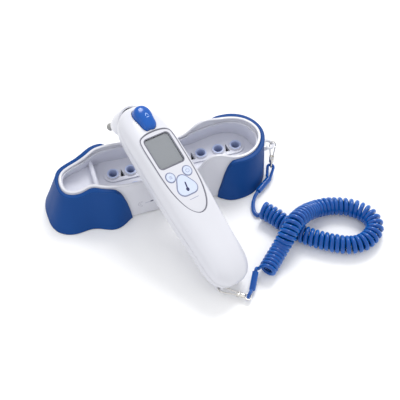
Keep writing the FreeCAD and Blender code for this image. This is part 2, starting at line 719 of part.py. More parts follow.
def make_eject_sleeve():
    """Slides along the probe tube and pushes the used cover off."""
    outline = [(SLEEVE_BORE, -1.2), (6.4, -1.2), (6.4, 0.0), (SLEEVE_R, 0.0), (SLEEVE_R, 21.3),
               (SLEEVE_MOUTH_BORE, 21.3), (SLEEVE_MOUTH_BORE, 17.0), (SLEEVE_BORE, 17.0)]
    return aim(turned(outline))


def make_sleeve_spring():
    coil = spring(5.6, 0.35, 2.2, 5.0)
    coil.translate(V(0, 0, 0.5))
    return aim(coil)


def make_rear_cover():
    cover = case_walls.common(slab(-60.0, PARTING - PARTING_GAP))
    cover = cover.cut(door_prism(0.0))
    return cover.cut(aim(Part.makeCylinder(7.0, 40.0, V(0, 0, -12.0))))


CASE_SCREW_PLACES = [(-14.0, 66.0), (14.0, 66.0), (-13.0, 134.0), (13.0, 134.0)]


def make_case_screws():
    """Long screws that close the covers from behind, in counterbores of the rear cover."""
    screws = []
    for x, y in CASE_SCREW_PLACES:
        screw = make_screw(1.9, 0.9, 1.0, 8.0)
        screw.translate(V(x, y, -22.62))
        screws.append(screw)
    return group(screws)


def with_screw_posts(cover):
    """Posts inside the rear cover, bored for the screws and counterbored for their heads."""
    posts = [Part.makeCylinder(3.3, 8.0, V(x, y, -23.4)) for x, y in CASE_SCREW_PLACES]
    heads = [Part.makeCylinder(2.1, 20.0, V(x, y, -42.6)) for x, y in CASE_SCREW_PLACES]
    shanks = [Part.makeCylinder(1.1, 30.0, V(x, y, -42.0)) for x, y in CASE_SCREW_PLACES]
    return cover.fuse(posts).cut(heads + shanks)


LUG_CENTRE = V(-6.5, 6.5, -25.8)


def make_handset_lug():
    ring = Part.makeTorus(LUG_R, LUG_WIRE_R, LUG_CENTRE, V(1, 0, 0))
    lug = ring.cut(case_outer)
    return max(lug.Solids, key=lambda solid: solid.Volume)


# ---- tether --------------------------------------------------------------------------------
def pipe(points, radius, closed=False):
    """A round cord through points."""
    wire = periodic_wire(points) if closed else open_wire(points)
    start = wire.Edges[0]
    tangent = start.tangentAt(start.FirstParameter)
    circle = Part.Wire([Part.makeCircle(radius, start.valueAt(start.FirstParameter), tangent)])
    return wire.makePipeShell([circle], True, False)


HOOK_LENGTH = 15.5       # from the clip's bead up to the lug wire it hangs on


def clip_placement(lug_point, bead_point, flat):
    """Clip frame: origin at the bead, +z towards the lug, +x across the wire loop."""
    up = (lug_point - bead_point).normalize()
    side = (flat - up * flat.dot(up)).normalize()
    depth = up.cross(side)
    origin = lug_point - up * HOOK_LENGTH
    return FreeCAD.Placement(FreeCAD.Matrix(
        side.x, depth.x, up.x, origin.x,
        side.y, depth.y, up.y, origin.y,
        side.z, depth.z, up.z, origin.z,
        0, 0, 0, 1))


def placed(shape, placement):
    shape = shape.copy()
    shape.Placement = placement.multiply(shape.Placement)
    return shape


GATE_PIVOT = V(1.15, 0, 1.2)
GATE_PIN_R = 0.35
GATE_EYE_R = 0.40


def make_snap():
    """Wire hook on a small block; the block carries the gate's pin and the swivel's post."""
    wire = pipe([V(-0.9, 0, 1.6), V(-1.6, 0, 6.0), V(-2.3, 0, 11.5), V(-2.3, 0, 15.6), V(0, 0, 18.3),
                 V(2.3, 0, 15.6), V(2.45, 0, 13.6)], WIRE_R)
    block = Part.makeBox(4.4, 3.2, 2.4, V(-2.2, -1.6, 0.0))
    block = block.makeFillet(0.7, [edge for edge in block.Edges if edge.BoundBox.ZLength > 2.3])
    slot = Part.makeBox(3.2, 1.3, 4.0, V(0.0, -0.65, 0.2))
    pin = Part.makeCylinder(GATE_PIN_R, 2.8, GATE_PIVOT + V(0, -1.4, 0), V(0, 1, 0))
    post = Part.makeCylinder(0.70, 2.7, V(0, 0, -2.6))
    head = Part.makeCylinder(1.15, 0.9, V(0, 0, -3.4))
    return block.cut(slot).fuse([pin, post, head, wire])


def make_gate():
    """Sprung wire gate that closes the hook's mouth."""
    knuckle = Part.makeCylinder(0.85, 1.1, GATE_PIVOT + V(0, -0.55, 0), V(0, 1, 0))
    tip = V(2.3, 0, 12.2)
    rod = Part.makeCylinder(WIRE_R, (tip - GATE_PIVOT).Length, GATE_PIVOT, tip - GATE_PIVOT)
    eye = Part.makeCylinder(GATE_EYE_R, 3.0, GATE_PIVOT + V(0, -1.5, 0), V(0, 1, 0))
    return knuckle.fuse(rod).cut(eye)


def make_swivel(eye_axis):
    """Bead that turns on the hook's post, with an eye for the cord."""
    outline = [(0.77, -0.25), (1.6, -0.25), (2.0, -0.8), (2.0, -3.9), (1.4, -4.8), (0, -4.8), (0, -3.7),
               (1.25, -3.7), (1.25, -2.3), (0.77, -2.3)]
    eye = Part.makeTorus(EYE_R, 0.55, V(0, 0, EYE_CENTRE), eye_axis)
    eye = eye.cut(Part.makeCylinder(1.38, 3.0, V(0, 0, -4.75)))
    return turned(outline).fuse(eye)


EYE_R = 2.6
EYE_CENTRE = -7.2
LOOP_R = 1.25
SLEEVE_CRIMP_R = 2.6
CORD_END_GAP = 0.05      # between a sleeve's end face and the cord that comes out of it
STRAND_APART = 1.3       # half the distance between the loop's two strands at the sleeve
STRAND_BURIED = 1.5
BIGHT_R = 2.6


def cord_end(eye_point, sleeve_start, sleeve_end, side):
    """The cord's end loop through the swivel's eye, and the crimp sleeve that holds it."""
    run = (sleeve_end - sleeve_start).normalize()
    root = sleeve_start + run * STRAND_BURIED
    ahead = (eye_point - root).normalize()
    side = (side - ahead * side.dot(ahead)).normalize()
    centre = eye_point - ahead * BIGHT_R
    reach = (centre - root).Length
    angle = math.atan2(STRAND_APART, -reach) - math.acos(BIGHT_R / math.hypot(reach, STRAND_APART))
    sideways = side * (BIGHT_R * math.sin(angle))
    forward = ahead * (BIGHT_R * math.cos(angle))
    first = root + side * STRAND_APART
    last = root - side * STRAND_APART
    bight = Part.Arc(centre + forward + sideways, eye_point, centre + forward - sideways).toShape()
    wire = Part.Wire([Part.makeLine(first, centre + forward + sideways), bight,
                      Part.makeLine(centre + forward - sideways, last)])
    strand = Part.Wire([Part.makeCircle(LOOP_R, first, centre + forward + sideways - first)])
    loop = wire.makePipeShell([strand], True, False)
    loop = loop.cut(Part.makeCylinder(6.0, 8.0, sleeve_start - run * CORD_END_GAP, run))
    length = (sleeve_end - sleeve_start).Length
    sleeve = Part.makeCylinder(SLEEVE_CRIMP_R, length, sleeve_start, run)
    return loop, sleeve.makeFillet(0.6, sleeve.Edges)


def cradle_clip():
    lug_point = CRADLE_LUG + V(LUG_R, 0, -0.25 * LUG_R)
    return clip_placement(lug_point, V(103.8, -15.6, 11.0), V(1, -0.25, 0))


def handset_clip():
    frame = handset_placement()
    lug_point = frame.multVec(LUG_CENTRE + V(0, -LUG_R, 0))
    return clip_placement(lug_point, V(38.4, -134.6, 4.4), V(1, 1, 0))


# The coil's centre line: out from the cradle, round the far bend, back over itself, to the handset.
COIL_LINE = [
    V(80.0, -60.5, 8.4), V(88.2, -70.6, 8.2), V(94.4, -81.2, 8.0), V(102.9, -92.4, 8.0),
    V(113.7, -102.0, 8.0), V(127.4, -110.9, 8.0), V(140.4, -116.5, 8.0), V(153.4, -115.7, 8.0),
    V(164.8, -106.9, 8.0), V(166.0, -95.3, 8.0), V(159.5, -85.2, 8.0), V(149.4, -78.2, 8.0),
    V(136.3, -73.9, 8.2), V(120.9, -75.2, 10.9), V(107.3, -83.3, 19.4), V(96.5, -91.6, 23.2),
    V(88.4, -98.6, 19.0), V(81.0, -104.0, 11.4), V(72.2, -111.5, 8.2), V(63.5, -119.9, 8.0),
]


def sleeve_exit(sleeve):
    """Two points on the sleeve's axis, either side of its far end."""
    start, end = sleeve
    run = (end - start).normalize()
    return [end - run * STRAND_BURIED, end + run * STRAND_BURIED]


def trimmed(lead, sleeve):
    """A lead without the stretch that would be inside its sleeve."""
    start, end = sleeve
    run = (end - start).normalize()
    return lead.cut(Part.makeCylinder(3.2, 8.0, end + run * CORD_END_GAP, -run))


def make_coil_tether(cradle_sleeve, handset_sleeve):
    """The coiled run as a hollow tube of the coil's own size, with a plain lead at each end."""
    tube = pipe(COIL_LINE, COIL_R).cut(pipe(COIL_LINE, COIL_BORE))
    to_coil = [V(75.6, -47.2, 3.5), V(73.0, -55.4, 3.5), V(74.6, -59.6, 6.0)]
    from_coil = [V(57.9, -116.9, 11.2), V(59.3, -119.6, 11.3)]
    lead_a = pipe(sleeve_exit(cradle_sleeve) + to_coil, CORD_R)
    lead_b = pipe(sleeve_exit(handset_sleeve) + from_coil, CORD_R)
    return group([tube, trimmed(lead_a, cradle_sleeve), trimmed(lead_b, handset_sleeve)])


# ---- write the nodes -----------------------------------------------------------------------
cradle_shell = make_cradle_shell()
cradle_tray = make_tray().cut(cradle_shell)
save("cradle_shell", cradle_shell)
save("cradle_tray", max(cradle_tray.Solids, key=lambda solid: solid.Volume))
save("boot_left", make_boot(LEFT_BOOT_EDGE, -110.0))
save("boot_right", make_boot(RIGHT_BOOT_EDGE, 110.0))
save("bottom_cover", make_bottom_cover())
save("cradle_feet", make_feet())
save("cradle_screws", make_cradle_screws())
save("tether_lug", make_tether_lug())
save("cassette_back", make_cassette(WELL_ROW_Y))
save("cassette_front", make_cassette(FRONT_ROW_Y))
save("covers_back", make_covers(WELL_ROW_Y))
save("covers_front", make_covers(FRONT_ROW_Y))

HANDSET_NODES = {
    "front_cover": make_front_cover(),
    "rear_cover": with_screw_posts(make_rear_cover()),
    "battery_door": make_battery_door(),
    "door_screw": make_door_screw(),
    "panel_overlay": make_panel_overlay(),
    "display_window": make_display_window(),
    "lcd_module": make_lcd_module(),
    "key_pad": make_key_pad(),
    "circuit_board": make_circuit_board(),
    "buzzer": make_buzzer(),
    "battery_cells": make_batteries(),
    "battery_springs": make_battery_springs(),
    "contact_plate": make_contact_plate(),
    "eject_button": make_eject_button(),
    "probe_cone": make_probe_cone(),
    "probe_tube": make_probe_tube(),
    "waveguide": make_waveguide(),
    "tip_window": make_tip_window(),
    "thermopile_sensor": make_sensor(),
    "eject_sleeve": make_eject_sleeve(),
    "sleeve_spring": make_sleeve_spring(),
    "case_screws": make_case_screws(),
    "handset_lug": make_handset_lug(),
}
for name, shape in HANDSET_NODES.items():
    save(name, lay(shape))
for name, key_shape in KEY_SHAPES.items():
    save(name, lay(make_key(key_shape)))

SLEEVE_A = (V(98.0, -28.0, 4.9), V(84.0, -38.4, 4.3))
SLEEVE_B = (V(47.2, -131.6, 3.4), V(54.6, -118.0, 8.0))
for end, clip, sleeve, eye_axis in (("cradle", cradle_clip(), SLEEVE_A, V(1, 0, 0)),
                                    ("handset", handset_clip(), SLEEVE_B, V(0, 1, 0))):
    save("snap_" + end, placed(make_snap(), clip))
    save("gate_" + end, placed(make_gate(), clip))
    save("swivel_" + end, placed(make_swivel(eye_axis), clip))
    eye = clip.multVec(V(0, 0, EYE_CENTRE))
    loop, crimp = cord_end(eye, sleeve[0], sleeve[1], clip.Rotation.multVec(eye_axis))
    save("cord_loop_" + end, loop)
    save("sleeve_" + end, crimp)
save("coil_tether", make_coil_tether(SLEEVE_A, SLEEVE_B))
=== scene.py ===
import json
import math

import bpy
import numpy as np
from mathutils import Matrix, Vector
from mathutils.bvhtree import BVHTree


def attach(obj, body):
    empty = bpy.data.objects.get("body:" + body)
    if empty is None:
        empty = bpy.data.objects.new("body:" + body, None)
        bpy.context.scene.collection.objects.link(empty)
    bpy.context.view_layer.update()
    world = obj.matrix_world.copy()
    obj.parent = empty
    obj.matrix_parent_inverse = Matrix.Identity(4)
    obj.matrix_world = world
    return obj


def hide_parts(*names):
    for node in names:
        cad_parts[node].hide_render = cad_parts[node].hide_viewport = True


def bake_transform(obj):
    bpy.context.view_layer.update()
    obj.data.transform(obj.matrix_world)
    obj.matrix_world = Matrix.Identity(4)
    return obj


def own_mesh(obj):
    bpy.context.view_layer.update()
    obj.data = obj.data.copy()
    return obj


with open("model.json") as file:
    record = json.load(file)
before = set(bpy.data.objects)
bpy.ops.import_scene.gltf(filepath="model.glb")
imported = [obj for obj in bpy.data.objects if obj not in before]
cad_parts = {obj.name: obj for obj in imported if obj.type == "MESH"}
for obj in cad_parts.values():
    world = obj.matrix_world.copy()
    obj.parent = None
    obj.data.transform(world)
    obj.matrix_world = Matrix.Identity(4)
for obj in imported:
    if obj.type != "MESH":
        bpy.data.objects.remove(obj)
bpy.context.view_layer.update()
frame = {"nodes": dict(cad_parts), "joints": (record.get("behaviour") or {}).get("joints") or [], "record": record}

# Looks of an ear thermometer lying across its cradle. Metres, in the frame's own axes.
MM = 0.001
NODES = frame["nodes"]
AXES = {joint["name"]: Vector(joint["axis"]).normalized() for joint in frame["joints"]}

# The handset's own directions: out of its face, from tail to head, and across the face.
OUT = -AXES["measure_key_press"]
PROBE = AXES["eject_sleeve_slide"]
ALONG = (PROBE - OUT * PROBE.dot(OUT)).normalized()
ACROSS = ALONG.cross(OUT)
HANDSET_AXES = np.array([ACROSS, ALONG, OUT])


# ---- material nodes --------------------------------------------------------------------------
def blank(name):
    """A new material with its node tree and its principled shader."""
    material = bpy.data.materials.new(name)
    material.use_nodes = True
    tree = material.node_tree
    return material, tree, tree.nodes["Principled BSDF"]


def add(tree, kind, **values):
    node = tree.nodes.new(kind)
    for name, value in values.items():
        node.inputs[name.replace("_", " ")].default_value = value
    return node


def shade(colour, factor):
    return [min(channel * factor, 1.0) for channel in colour[:3]] + [1.0]


def cloud(tree, scale, detail=2.0):
    """Noise laid out in the object's own metres."""
    place = tree.nodes.new("ShaderNodeTexCoord")
    noise = add(tree, "ShaderNodeTexNoise", Scale=scale, Detail=detail)
    tree.links.new(place.outputs["Object"], noise.inputs["Vector"])
    return noise


def mix(tree, factor, first, second):
    """A colour between two, by a socket."""
    node = tree.nodes.new("ShaderNodeMix")
    node.data_type = "RGBA"
    node.inputs["A"].default_value = first
    node.inputs["B"].default_value = second
    tree.links.new(factor, node.inputs["Factor"])
    return node.outputs["Result"]


def grain(tree, shader, scale, strength, edge):
    """Fine surface grain in the bump, over edges softened by the edge radius."""
    noise = cloud(tree, scale, 3.0)
    bump = add(tree, "ShaderNodeBump", Strength=strength, Distance=0.0001)
    tree.links.new(noise.outputs["Fac"], bump.inputs["Height"])
    if edge:
        bevel = add(tree, "ShaderNodeBevel", Radius=edge)
        bevel.samples = 4
        tree.links.new(bevel.outputs["Normal"], bump.inputs["Normal"])
    tree.links.new(bump.outputs["Normal"], shader.inputs["Normal"])


def moulded(name, colour, roughness, edge=0.0, tint=0.03, coat=0.0, scale=2500.0, strength=0.12, **more):
    """Moulded plastic or rubber: faint clouding in its colour and fine grain in its surface."""
    material, tree, shader = blank(name)
    clouds = cloud(tree, 45.0)
    colours = mix(tree, clouds.outputs["Fac"], shade(colour, 1.0 - tint), shade(colour, 1.0 + tint))
    tree.links.new(colours, shader.inputs["Base Color"])
    shader.inputs["Roughness"].default_value = roughness
    shader.inputs["Coat Weight"].default_value = coat
    shader.inputs["Coat Roughness"].default_value = 0.08
    for key, value in more.items():
        shader.inputs[key.replace("_", " ")].default_value = value
    grain(tree, shader, scale, strength, edge)
    return material


def metal(name, colour, roughness):
    """Drawn or plated metal with fine streaks."""
    material, tree, shader = blank(name)
    streaks = cloud(tree, 1800.0, 4.0)
    colours = mix(tree, streaks.outputs["Fac"], shade(colour, 0.82), shade(colour, 1.12))
    tree.links.new(colours, shader.inputs["Base Color"])
    shader.inputs["Metallic"].default_value = 1.0
    shader.inputs["Roughness"].default_value = roughness
    grain(tree, shader, 3000.0, 0.25, 0.0)
    return material


def cord_material(name, deep, painted_sheen):
    """Glossy cord plastic whose base colour is painted lighter towards its edges, where they turn from view: a
    painted sheen.
    """
    material, tree, shader = blank(name)
    # Painted sheen: the base colour runs from the cord's own deep blue to a lighter blue as the surface turns away
    # from view.
    glance = add(tree, "ShaderNodeLayerWeight", Blend=0.35)
    colours = mix(tree, glance.outputs["Facing"], deep, painted_sheen)
    tree.links.new(colours, shader.inputs["Base Color"])
    shader.inputs["Roughness"].default_value = 0.25
    shader.inputs["Specular IOR Level"].default_value = 0.25
    shader.inputs["Coat Weight"].default_value = 0.32
    shader.inputs["Coat Roughness"].default_value = 0.08
    grain(tree, shader, 900.0, 0.2, 0.0)
    return material


def pane_material(name):
    """Clear pane: see-through, with a reflection that grows at a low angle."""
    material, tree, shader = blank(name)
    tree.nodes.remove(shader)
    clear = add(tree, "ShaderNodeBsdfTransparent", Color=(0.93, 0.94, 0.95, 1.0))
    gloss = add(tree, "ShaderNodeBsdfGlossy", Roughness=0.12)
    glance = add(tree, "ShaderNodeLayerWeight", Blend=0.15)
    smear = cloud(tree, 60.0)
    spread = add(tree, "ShaderNodeMapRange")
    spread.inputs["To Min"].default_value = 0.07
    spread.inputs["To Max"].default_value = 0.16
    both = tree.nodes.new("ShaderNodeMixShader")
    tree.links.new(smear.outputs["Fac"], spread.inputs["Value"])
    tree.links.new(spread.outputs["Result"], gloss.inputs["Roughness"])
    behind = tree.nodes.new("ShaderNodeNewGeometry")
    outside = tree.nodes.new("ShaderNodeMath")
    outside.operation = "SUBTRACT"
    outside.inputs[0].default_value = 1.0
    front_only = tree.nodes.new("ShaderNodeMath")
    front_only.operation = "MULTIPLY"
    tree.links.new(behind.outputs["Backfacing"], outside.inputs[1])
    tree.links.new(outside.outputs["Value"], front_only.inputs[0])
    tree.links.new(glance.outputs["Fresnel"], front_only.inputs[1])
    tree.links.new(front_only.outputs["Value"], both.inputs["Fac"])
    tree.links.new(clear.outputs["BSDF"], both.inputs[1])
    tree.links.new(gloss.outputs["BSDF"], both.inputs[2])
    tree.links.new(both.outputs["Shader"], tree.nodes["Material Output"].inputs["Surface"])
    return material


def banded(name, low, high, bottom, top, roughness):
    """A colour that runs from one tone to another with height."""
    material, tree, shader = blank(name)
    place = tree.nodes.new("ShaderNodeTexCoord")
    split = tree.nodes.new("ShaderNodeSeparateXYZ")
    reach = add(tree, "ShaderNodeMapRange")
    reach.inputs["From Min"].default_value = bottom
    reach.inputs["From Max"].default_value = top
    tree.links.new(place.outputs["Object"], split.inputs["Vector"])
    tree.links.new(split.outputs["Z"], reach.inputs["Value"])
    colours = mix(tree, reach.outputs["Result"], low, high)
    tree.links.new(colours, shader.inputs["Base Color"])
    shader.inputs["Roughness"].default_value = roughness
    grain(tree, shader, 2000.0, 0.1, 0.0)
    return material


FINISHES = {
    "white_case": moulded("white_case", (0.60, 0.605, 0.655), 0.32, 0.0006, 0.02, 0.3),
    "white_tray": moulded("white_tray", (0.66, 0.67, 0.75), 0.45, 0.0005, 0.03, 0.1),
    "blue_boot": moulded("blue_boot", (0.001, 0.046, 0.205), 0.50, 0.0009, 0.06, 0.0,
                         Specular_IOR_Level=0.18),
    "grey_plastic": moulded("grey_plastic", (0.50, 0.51, 0.54), 0.5, 0.0002),
    "rubber_grey": moulded("rubber_grey", (0.22, 0.23, 0.25), 0.75, 0.0002),
    "steel": metal("steel", (0.66, 0.64, 0.60), 0.26),
    "probe_cover": banded("probe_cover", (0.17, 0.22, 0.42, 1.0), (0.47, 0.54, 0.76, 1.0),
                          6.0 * MM, 17.2 * MM, 0.35),
    "panel": moulded("panel", (0.575, 0.58, 0.63), 0.38, 0.0, 0.015, 0.15),
    "window": pane_material("window"),
    "lcd": moulded("lcd", (0.285, 0.288, 0.298), 0.45, 0.0002, 0.06),
    "board": moulded("board", (0.03, 0.20, 0.07), 0.45, 0.0, 0.15),
    "cell_wrap": moulded("cell_wrap", (0.06, 0.06, 0.07), 0.3, 0.0002),
    "blue_button": moulded("blue_button", (0.0002, 0.078, 0.370), 0.18, 0.0004, 0.05, 0.3, 900.0, 0.04,
                           Specular_IOR_Level=0.25),
    "grey_tip": moulded("grey_tip", (0.27, 0.27, 0.26), 0.5, 0.0003, 0.06),
    "gold": metal("gold", (0.85, 0.62, 0.25), 0.15),
    "key": moulded("key", (0.52, 0.58, 0.73), 0.45, 0.0003, 0.02),
    # The cord's second, lighter colour is the painted sheen at its edges.
    "blue_cord": cord_material("blue_cord", (0.0005, 0.052, 0.270, 1.0), (0.003, 0.160, 0.580, 1.0)),
}
INKS = {
    "line_grey": moulded("line_grey", (0.13, 0.13, 0.17), 0.5),
    "line_soft": moulded("line_soft", (0.20, 0.22, 0.35), 0.5),
    "ink_navy": moulded("ink_navy", (0.012, 0.015, 0.075), 0.4),
    "ink_pale": moulded("ink_pale", (0.35, 0.52, 0.85), 0.4),
    "ink_light": moulded("ink_light", (0.30, 0.30, 0.37), 0.5),
}
SLOTS = {row["node"]: row["material_slot"] for row in frame["record"]["subparts"]}
for node_name, node_object in NODES.items():
    node_object.data.materials.clear()
    node_object.data.materials.append(FINISHES[SLOTS[node_name]])


# ---- geometry helpers ------------------------------------------------------------------------
def make_piece(name, points, faces, material, body=None):
    mesh = bpy.data.meshes.new(name)
    mesh.from_pydata([tuple(point) for point in points], [], faces)
    mesh.validate()
    for polygon in mesh.polygons:
        polygon.use_smooth = True
    piece = bpy.data.objects.new(name, mesh)
    bpy.context.scene.collection.objects.link(piece)
    mesh.materials.append(material)
    if body:
        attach(piece, body)
    return piece


def triangles_of(node):
    """A node's corners, merged where they coincide, and its triangles."""
    mesh = NODES[node].data
    mesh.calc_loop_triangles()
    corners = np.empty(len(mesh.vertices) * 3)
    mesh.vertices.foreach_get("co", corners)
    triangles = np.empty(len(mesh.loop_triangles) * 3, int)
    mesh.loop_triangles.foreach_get("vertices", triangles)
    keys, index = np.unique(np.round(corners.reshape(-1, 3) * 1e6), axis=0, return_inverse=True)
    return keys * 1e-6, index.reshape(-1)[triangles].reshape(-1, 3)


def surface_of(node):
    corners, triangles = triangles_of(node)
    return BVHTree.FromPolygons(corners.tolist(), triangles.tolist())


def facing(node, direction, least):
    """A node's corners, its triangles that face a direction, and those triangles' centres."""
    corners, triangles = triangles_of(node)
    sides = corners[triangles]
    normals = np.cross(sides[:, 1] - sides[:, 0], sides[:, 2] - sides[:, 0])
    normals /= np.maximum(np.linalg.norm(normals, axis=1), 1e-15)[:, None]
    chosen = normals @ np.array(direction) > least
    return corners, triangles[chosen], sides[chosen].mean(axis=1)


def rings(corners, triangles):
    """Closed boundary loops of a patch of triangles, longest first."""
    edges = set()
    for a, b, c in triangles:
        edges.update(((a, b), (b, c), (c, a)))
    follow = {a: b for a, b in edges if (b, a) not in edges}
    loops = []
    while follow:
        first, here = follow.popitem()
        loop = [first]
        while here != first and here in follow:
            loop.append(here)
            here = follow.pop(here)
        loops.append(corners[loop])
    return sorted(loops, key=lambda loop: -ring_length(loop))


def ring_length(loop):
    return np.linalg.norm(np.roll(loop, -1, axis=0) - loop, axis=1).sum()


def even_ring(loop, count):
    """The same loop with evenly spaced points."""
    closed = np.vstack([loop, loop[:1]])
    runs = np.concatenate([[0.0], np.cumsum(np.linalg.norm(np.diff(closed, axis=0), axis=1))])
    places = np.linspace(0.0, runs[-1], count, endpoint=False)
    return np.stack([np.interp(places, runs, closed[:, axis]) for axis in range(3)], axis=1)


def smooth_ring(loop, rounds):
    for _ in range(rounds):
        loop = (np.roll(loop, 1, axis=0) + loop * 2.0 + np.roll(loop, -1, axis=0)) / 4.0
    return loop


def nearest_on(loop, points):
    """The nearest point of a closed loop's segments to each point."""
    starts = loop
    runs = np.roll(loop, -1, axis=0) - loop
    sizes = np.maximum((runs ** 2).sum(axis=1), 1e-18)
    found = []
    for point in points:
        share = np.clip(((point - starts) * runs).sum(axis=1) / sizes, 0.0, 1.0)
        places = starts + runs * share[:, None]
        found.append(places[np.argmin(((places - point) ** 2).sum(axis=1))])
    return np.array(found)


def grid_faces(rows, columns, closed_rows=True, closed_columns=True):
    faces = []
    for row in range(rows if closed_rows else rows - 1):
        for column in range(columns if closed_columns else columns - 1):
            next_row = (row + 1) % rows
            next_column = (column + 1) % columns
            faces.append((row * columns + column, row * columns + next_column,
                          next_row * columns + next_column, next_row * columns + column))
    return faces


def unit(vectors):
    return vectors / np.maximum(np.linalg.norm(vectors, axis=-1, keepdims=True), 1e-12)


# ---- the cradle's rim ------------------------------------------------------------------------
RIM_LOWEST = 25.0 * MM       # the rim's flat edge is all above this height
BOOT_TOP_LOWEST = 20.0 * MM
LIP_RISE = 0.9 * MM
LIP_SKIRT = 0.8 * MM         # how far a lip reaches down the walls on each side
RIM_OVERHANG = 0.15 * MM
BOOT_OVERHANG = 0.1 * MM


def make_bead(name, outer, inner, rise, overhang, skirt, material, body, closed=True):
    """A rounded lip over the strip between two matched runs of points."""
    middle = (outer + inner) / 2.0
    half = (outer - inner) / 2.0
    width = np.linalg.norm(half, axis=1, keepdims=True)
    side = half / width
    if closed:
        run = unit(np.roll(middle, -1, axis=0) - np.roll(middle, 1, axis=0))
    else:
        run = unit(np.gradient(middle, axis=0))
    up = unit(np.cross(run, side))
    up *= np.sign(up[:, 2:3])
    reach = side * (width + overhang)
    sections = [middle + reach - up * skirt]
    steps = 14
    for step in range(steps + 1):
        angle = math.pi * step / steps
        across = math.copysign(abs(math.cos(angle)) ** 0.75, math.cos(angle))
        sections.append(middle + reach * across + up * rise * math.sin(angle) ** 0.8)
    sections.append(middle - reach - up * skirt)
    points = np.stack(sections, axis=1)
    count, columns = points.shape[:2]
    faces = grid_faces(count, columns, closed)
    if not closed:
        faces.append(tuple(range(columns))[::-1])
        faces.append(tuple((count - 1) * columns + column for column in range(columns)))
    return make_piece(name, points.reshape(-1, 3), faces, material, body)


def make_rim():
    corners, triangles, centres = facing("cradle_shell", (0, 0, 1), 0.55)
    high = centres[:, 2] > RIM_LOWEST
    outer, inner = rings(corners, triangles[high])[:2]
    outer = smooth_ring(even_ring(outer, 420), 3)
    inner = nearest_on(inner, outer)
    make_bead("rim_lip", outer, smooth_ring(inner, 3), LIP_RISE, RIM_OVERHANG, LIP_SKIRT,
              FINISHES["white_case"], "cradle")


def make_boot_lip(node, name):
    """The rounded top edge of a boot: a bead over the strip between its outer and inner edges."""
    corners, triangles, centres = facing(node, (0, 0, 1), 0.6)
    count = 400
    loop = even_ring(rings(corners, triangles[centres[:, 2] > BOOT_TOP_LOWEST])[0], count)
    bend = np.abs(np.roll(loop, 3, axis=0) + np.roll(loop, -3, axis=0) - 2 * loop).sum(axis=1)
    sharpest = np.argsort(-bend)
    apart = np.abs((sharpest - sharpest[0] + count // 2) % count - count // 2)
    ends = sorted((sharpest[0], sharpest[np.argmax(apart > count // 4)]))
    halves = [loop[ends[0]:ends[1] + 1], np.vstack([loop[ends[1]:], loop[:ends[0] + 1]])[::-1]]
    inner, outer = sorted(halves, key=lambda half: np.linalg.norm(half, axis=1).mean())
    shares = np.linspace(0.03, 0.97, 150)
    places = np.linspace(0.0, 1.0, len(outer))
    outer = np.stack([np.interp(shares, places, outer[:, axis]) for axis in range(3)], axis=1)
    make_bead(name, outer, nearest_on(inner, outer), LIP_RISE, BOOT_OVERHANG, LIP_SKIRT,
              FINISHES["blue_boot"], "cradle", False)


make_rim()
make_boot_lip("boot_left", "boot_lip_left")
make_boot_lip("boot_right", "boot_lip_right")


# ---- printed and moulded marks ---------------------------------------------------------------
LINE_LIFT = 0.06 * MM
THIN_STROKE = 0.24 * MM
BUTTON_STROKE = 0.3 * MM
WALL_MARK_X = -14.0 * MM
WALL_MARK_Z = 12.5 * MM


def make_outline(name, loop, near, far, lift, material, body):
    """A thin raised line that follows a loop on the handset's face, between two distances outwards."""
    out = np.array(OUT)
    run = unit(np.roll(loop, -1, axis=0) - np.roll(loop, 1, axis=0))
    side = unit(np.cross(run, out))
    if ((loop - loop.mean(axis=0)) * side).sum() < 0:
        side = -side
    sections = [loop + side * near - out * 0.1 * MM, loop + side * near + out * lift,
                loop + side * far + out * lift, loop + side * far - out * 0.1 * MM]
    points = np.stack(sections, axis=1)
    make_piece(name, points.reshape(-1, 3), grid_faces(len(loop), 4), material, body)


def make_panel_lines():
    corners, triangles, centres = facing("panel_overlay", OUT, 0.97)
    height = centres @ np.array(OUT)
    loops = rings(corners, triangles[height > height.max() - 0.1 * MM])
    panel, window = loops[0], loops[1]
    keys = loops[2:5]
    dark = INKS["line_grey"]
    make_outline("panel_line", even_ring(panel, 260), -1.0 * MM, -0.1 * MM, LINE_LIFT, dark, "handset")
    make_outline("window_line", even_ring(window, 200), 0.0, 0.9 * MM, LINE_LIFT, dark, "handset")
    for number, key in enumerate(keys):
        make_outline("key_line_%d" % number, even_ring(key, 120), 0.05 * MM, 0.7 * MM, LINE_LIFT,
                     INKS["line_soft"], "handset")


make_panel_lines()


def middle_of(node):
    """Centre of a node's box in the handset's own directions, in metres."""
    places = triangles_of(node)[0] @ HANDSET_AXES.T
    return (places.min(axis=0) + places.max(axis=0)) / 2.0


def on_face(surface, start, direction):
    """Where a line from start meets a surface, and the surface's outward normal there."""
    place, normal, _, _ = surface.ray_cast(Vector(start), Vector(direction))
    if place is None:
        raise RuntimeError("a mark misses its surface")
    if normal.dot(Vector(direction)) > 0:
        normal = -normal
    return np.array(place), np.array(normal)


def make_stroke(name, surface, starts, direction, radii, height, material, body):
    """A low rounded stroke laid on a surface along a run of points."""
    direction = np.array(direction)
    hits = [on_face(surface, start, direction) for start in starts]
    places = np.array([hit[0] for hit in hits])
    normals = np.array([hit[1] for hit in hits])
    run = unit(np.gradient(places, axis=0))
    side = unit(np.cross(run, normals))
    radii = np.array(radii)[:, None]
    sections = []
    steps = 6
    for step in range(steps + 1):
        angle = math.pi * step / steps
        rise = height * math.sin(angle) - 0.08 * MM
        sections.append(places + side * radii * math.cos(angle) + normals * rise)
    points = np.stack(sections, axis=1)
    faces = grid_faces(len(starts), steps + 1, False)
    make_piece(name, points.reshape(-1, 3), faces, material, body)


